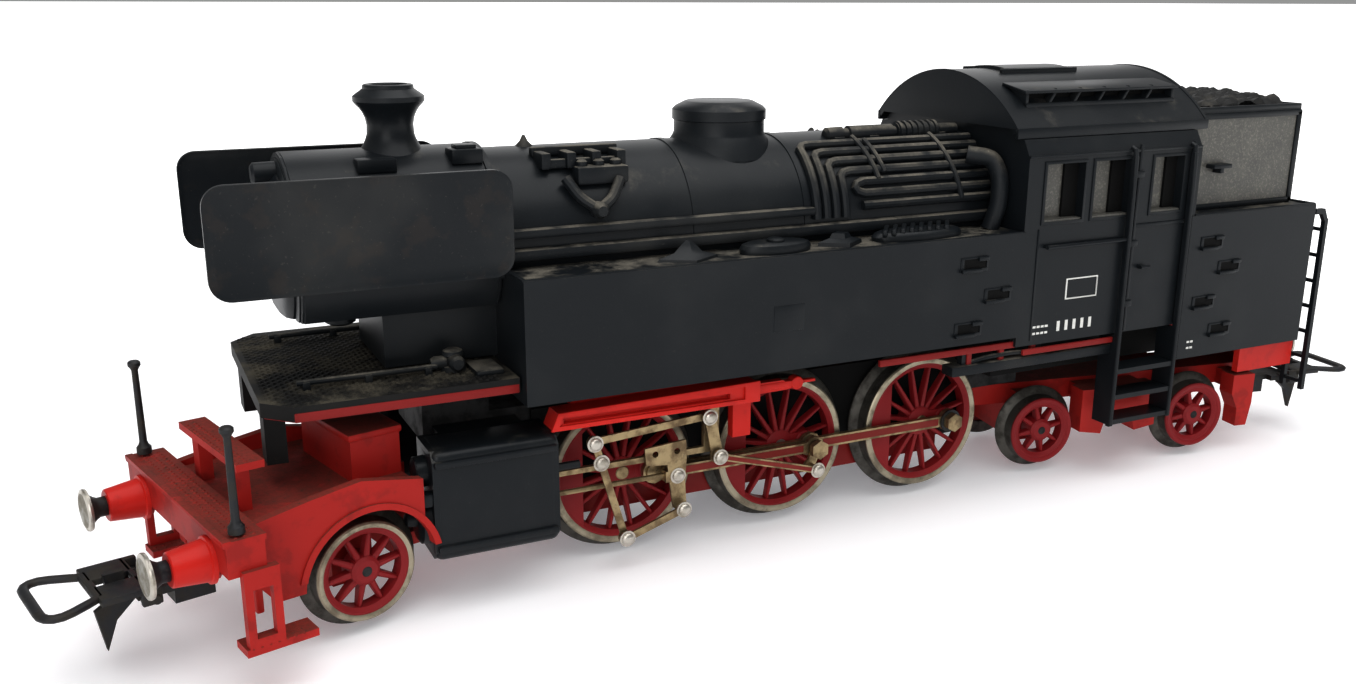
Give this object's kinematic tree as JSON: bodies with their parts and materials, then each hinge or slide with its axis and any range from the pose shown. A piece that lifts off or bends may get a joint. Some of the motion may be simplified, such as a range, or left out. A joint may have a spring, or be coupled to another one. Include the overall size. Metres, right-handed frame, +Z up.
{
  "type": "model tank locomotive",
  "caption": "Model steam tank locomotive with spoked wheels, coupled rods and valve gear, swinging trucks, sprung buffers and loop couplings",
  "frame": {"origin": "centre of the whole engine's plan, at the lowest point of the wheel flanges", "axes": "+Z up, -X forwards along the boiler, +Y to the engine's right-hand side; the front truck stands swung and the rear bogie stands swung, both towards -Y at their outer ends"},
  "size_m": [0.1934, 0.0442, 0.0579],
  "materials": {
    "black_plastic": "satin moulded plastic with dust",
    "red_plastic": "bright red moulded plastic",
    "wheel_red": "dark red spokes inside plated metal tyres",
    "plated_brass": "aged nickel-plated brass stamping",
    "turned_steel": "bright turned metal",
    "cast_metal": "grey die-cast metal",
    "frosted_pane": "frosted clear plastic",
    "nylon": "off-white moulded gear plastic",
    "copper": "copper windings on a laminated core",
    "blackened_metal": "blackened sheet metal"
  },
  "bodies": {
    "engine": {"body_shell": "black_plastic", "cab_roof": "black_plastic", "cab_glazing": "frosted_pane", "smoke_deflector_left": "black_plastic", "smoke_deflector_right": "black_plastic", "front_footplate": "black_plastic", "cab_steps_left": "black_plastic", "cab_steps_right": "black_plastic", "rear_ladder_left": "black_plastic", "rear_ladder_right": "black_plastic", "rear_beam": "red_plastic", "chassis_block": "cast_metal", "keeper_plate": "cast_metal", "motor_housing": "cast_metal", "cylinder_left": "black_plastic", "cylinder_right": "black_plastic", "motion_support_left": "red_plastic", "motion_support_right": "red_plastic", "guide_plate_left": "plated_brass", "guide_plate_right": "plated_brass"},
    "drive_wheelset": {"drive_axle": "turned_steel", "drive_wheel_left": "wheel_red", "drive_wheel_right": "wheel_red", "return_crank_left": "turned_steel", "return_crank_right": "turned_steel"},
    "front_truck": {"front_frame": "red_plastic", "marker_post_left": "black_plastic", "marker_post_right": "black_plastic"},
    "rear_bogie": {"bogie_frame": "red_plastic"},
    "rear_buffer_left": {"rear_buffer_left": "turned_steel"},
    "rear_buffer_right": {"rear_buffer_right": "turned_steel"},
    "front_buffer_left": {"front_buffer_left": "turned_steel"},
    "front_buffer_right": {"front_buffer_right": "turned_steel"},
    "idler_gear": {"idler_gear": "nylon"},
    "armature": {"armature": "copper"},
    "front_wheelset": {"front_wheelset": "wheel_red"},
    "rear_wheelset": {"rear_wheelset": "wheel_red"},
    "leading_wheelset": {"leading_wheelset": "wheel_red"},
    "trailing_wheelset_front": {"trailing_wheelset_front": "wheel_red"},
    "trailing_wheelset_rear": {"trailing_wheelset_rear": "wheel_red"},
    "front_coupling": {"front_coupling": "blackened_metal"},
    "front_loop": {"front_loop": "blackened_metal"},
    "rear_coupling": {"rear_coupling": "blackened_metal"},
    "rear_loop": {"rear_loop": "blackened_metal"},
    "coupling_rod_left": {"coupling_rod_left": "plated_brass"},
    "coupling_rod_right": {"coupling_rod_right": "plated_brass"},
    "connecting_rod_left": {"connecting_rod_left": "plated_brass"},
    "connecting_rod_right": {"connecting_rod_right": "plated_brass"},
    "eccentric_rod_left": {"eccentric_rod_left": "turned_steel"},
    "eccentric_rod_right": {"eccentric_rod_right": "turned_steel"},
    "guide_disc_left": {"guide_disc_left": "turned_steel"},
    "guide_disc_right": {"guide_disc_right": "turned_steel"},
    "crosshead_left": {"crosshead_left": "plated_brass"},
    "crosshead_right": {"crosshead_right": "plated_brass"},
    "union_link_left": {"union_link_left": "plated_brass"},
    "union_link_right": {"union_link_right": "plated_brass"},
    "expansion_link_left": {"expansion_link_left": "plated_brass"},
    "expansion_link_right": {"expansion_link_right": "plated_brass"},
    "combination_lever_left": {"combination_lever_left": "plated_brass"},
    "combination_lever_right": {"combination_lever_right": "plated_brass"}
  },
  "joints": [
    {"name": "drive_roll", "type": "hinge", "parent": "engine", "child": "drive_wheelset", "pos_m": [-0.00779, 0.00398, 0.0104], "axis": [0, 1, 0], "continuous": true},
    {"name": "front_roll", "type": "hinge", "parent": "engine", "child": "front_wheelset", "pos_m": [-0.03029, 0.00398, 0.0104], "axis": [0, 1, 0], "continuous": true},
    {"name": "rear_roll", "type": "hinge", "parent": "engine", "child": "rear_wheelset", "pos_m": [0.0147, 0.00398, 0.0104], "axis": [0, 1, 0], "continuous": true},
    {"name": "idler_spin", "type": "hinge", "parent": "engine", "child": "idler_gear", "pos_m": [-0.00273, 0.00798, 0.02034], "axis": [0, 1, 0], "continuous": true},
    {"name": "armature_spin", "type": "hinge", "parent": "engine", "child": "armature", "pos_m": [0.00314, 0.00398, 0.02527], "axis": [0, 1, 0], "continuous": true},
    {"name": "coupling_rod_left_pin", "type": "hinge", "parent": "drive_wheelset", "child": "coupling_rod_left", "pos_m": [-0.004, -0.00687, 0.0104], "axis": [0, 1, 0], "continuous": true},
    {"name": "connecting_rod_left_pin", "type": "hinge", "parent": "drive_wheelset", "child": "connecting_rod_left", "pos_m": [-0.004, -0.00792, 0.0104], "axis": [0, 1, 0], "continuous": true},
    {"name": "eccentric_rod_left_pin", "type": "hinge", "parent": "drive_wheelset", "child": "eccentric_rod_left", "pos_m": [-0.005, -0.01062, 0.0082], "axis": [0, 1, 0], "continuous": true},
    {"name": "guide_disc_left_spin", "type": "hinge", "parent": "drive_wheelset", "child": "guide_disc_left", "pos_m": [-0.0059, -0.00622, 0.0104], "axis": [0, 1, 0], "continuous": true},
    {"name": "crosshead_left_pin", "type": "hinge", "parent": "guide_disc_left", "child": "crosshead_left", "pos_m": [-0.004, -0.00942, 0.0104], "axis": [0, 1, 0], "continuous": true},
    {"name": "union_link_left_pin", "type": "hinge", "parent": "crosshead_left", "child": "union_link_left", "pos_m": [-0.0242, -0.01062, 0.0063], "axis": [0, 1, 0], "range_deg": [-20, 20]},
    {"name": "combination_lever_left_pin", "type": "hinge", "parent": "engine", "child": "combination_lever_left", "pos_m": [-0.03549, -0.01007, 0.0164], "axis": [0, 1, 0], "range_deg": [-20, 20]},
    {"name": "expansion_link_left_pin", "type": "hinge", "parent": "engine", "child": "expansion_link_left", "pos_m": [-0.02039, -0.01007, 0.0175], "axis": [0, 1, 0], "range_deg": [-12, 12]},
    {"name": "coupling_rod_right_pin", "type": "hinge", "parent": "drive_wheelset", "child": "coupling_rod_right", "pos_m": [-0.00779, 0.01483, 0.0142], "axis": [0, 1, 0], "continuous": true},
    {"name": "connecting_rod_right_pin", "type": "hinge", "parent": "drive_wheelset", "child": "connecting_rod_right", "pos_m": [-0.00779, 0.01588, 0.0142], "axis": [0, 1, 0], "continuous": true},
    {"name": "eccentric_rod_right_pin", "type": "hinge", "parent": "drive_wheelset", "child": "eccentric_rod_right", "pos_m": [-0.0056, 0.01858, 0.0132], "axis": [0, 1, 0], "continuous": true},
    {"name": "guide_disc_right_spin", "type": "hinge", "parent": "drive_wheelset", "child": "guide_disc_right", "pos_m": [-0.00779, 0.01418, 0.0123], "axis": [0, 1, 0], "continuous": true},
    {"name": "crosshead_right_pin", "type": "hinge", "parent": "guide_disc_right", "child": "crosshead_right", "pos_m": [-0.00779, 0.01738, 0.0104], "axis": [0, 1, 0], "continuous": true},
    {"name": "union_link_right_pin", "type": "hinge", "parent": "crosshead_right", "child": "union_link_right", "pos_m": [-0.02764, 0.01858, 0.0063], "axis": [0, 1, 0], "range_deg": [-20, 20]},
    {"name": "combination_lever_right_pin", "type": "hinge", "parent": "engine", "child": "combination_lever_right", "pos_m": [-0.03549, 0.01803, 0.0164], "axis": [0, 1, 0], "range_deg": [-20, 20]},
    {"name": "expansion_link_right_pin", "type": "hinge", "parent": "engine", "child": "expansion_link_right", "pos_m": [-0.02039, 0.01803, 0.0175], "axis": [0, 1, 0], "range_deg": [-12, 12]},
    {"name": "front_truck_swing", "type": "hinge", "parent": "engine", "child": "front_truck", "pos_m": [-0.0378, 0.00398, 0.006], "axis": [0, 0, 1], "range_deg": [-29.1, 0.9]},
    {"name": "leading_roll", "type": "hinge", "parent": "front_truck", "child": "leading_wheelset", "pos_m": [-0.06553, -0.00298, 0.0069], "axis": [-0.2436, 0.9699, 0], "continuous": true},
    {"name": "rear_bogie_swing", "type": "hinge", "parent": "engine", "child": "rear_bogie", "pos_m": [0.03051, 0.00398, 0.01], "axis": [0, 0, 1], "range_deg": [-0.9, 19.5]},
    {"name": "trailing_front_roll", "type": "hinge", "parent": "rear_bogie", "child": "trailing_wheelset_front", "pos_m": [0.03732, 0.00287, 0.00615], "axis": [0.1616, 0.9869, 0], "continuous": true},
    {"name": "trailing_rear_roll", "type": "hinge", "parent": "rear_bogie", "child": "trailing_wheelset_rear", "pos_m": [0.06317, -0.00136, 0.00615], "axis": [0.1616, 0.9869, 0], "continuous": true},
    {"name": "front_coupling_swing", "type": "hinge", "parent": "front_truck", "child": "front_coupling", "pos_m": [-0.07698, -0.00586, 0.0081], "axis": [0, 0, 1], "range_deg": [-6, 6]},
    {"name": "front_loop_lift", "type": "hinge", "parent": "front_coupling", "child": "front_loop", "pos_m": [-0.08513, -0.00791, 0.0081], "axis": [-0.2436, 0.9699, 0], "range_deg": [0, 28]},
    {"name": "rear_coupling_swing", "type": "hinge", "parent": "rear_bogie", "child": "rear_coupling", "pos_m": [0.07699, -0.00363, 0.0081], "axis": [0, 0, 1], "range_deg": [-6, 6]},
    {"name": "rear_loop_lift", "type": "hinge", "parent": "rear_coupling", "child": "rear_loop", "pos_m": [0.08528, -0.00498, 0.0081], "axis": [-0.1616, -0.9869, 0], "range_deg": [0, 28]},
    {"name": "front_buffer_left_travel", "type": "slide", "parent": "front_truck", "child": "front_buffer_left", "axis": [0.9699, 0.2436, 0], "range_m": [0, 0.0012], "stiffness_N_per_m": 60},
    {"name": "rear_buffer_left_travel", "type": "slide", "parent": "engine", "child": "rear_buffer_left", "axis": [-1, 0, 0], "range_m": [0, 0.0012], "stiffness_N_per_m": 60},
    {"name": "front_buffer_right_travel", "type": "slide", "parent": "front_truck", "child": "front_buffer_right", "axis": [0.9699, 0.2436, 0], "range_m": [0, 0.0012], "stiffness_N_per_m": 60},
    {"name": "rear_buffer_right_travel", "type": "slide", "parent": "engine", "child": "rear_buffer_right", "axis": [-1, 0, 0], "range_m": [0, 0.0012], "stiffness_N_per_m": 60}
  ],
  "couplings": [
    {"joint": "front_roll", "follows": "drive_roll", "ratio": 1},
    {"joint": "rear_roll", "follows": "drive_roll", "ratio": 1},
    {"joint": "idler_spin", "follows": "drive_roll", "ratio": -1.2},
    {"joint": "armature_spin", "follows": "drive_roll", "ratio": 2.4},
    {"joint": "coupling_rod_left_pin", "follows": "drive_roll", "ratio": -1},
    {"joint": "connecting_rod_left_pin", "follows": "drive_roll", "ratio": -1},
    {"joint": "eccentric_rod_left_pin", "follows": "drive_roll", "ratio": -1},
    {"joint": "guide_disc_left_spin", "follows": "drive_roll", "ratio": -2},
    {"joint": "crosshead_left_pin", "follows": "drive_roll", "ratio": 1},
    {"joint": "coupling_rod_right_pin", "follows": "drive_roll", "ratio": -1},
    {"joint": "connecting_rod_right_pin", "follows": "drive_roll", "ratio": -1},
    {"joint": "eccentric_rod_right_pin", "follows": "drive_roll", "ratio": -1},
    {"joint": "guide_disc_right_spin", "follows": "drive_roll", "ratio": -2},
    {"joint": "crosshead_right_pin", "follows": "drive_roll", "ratio": 1}
  ]
}
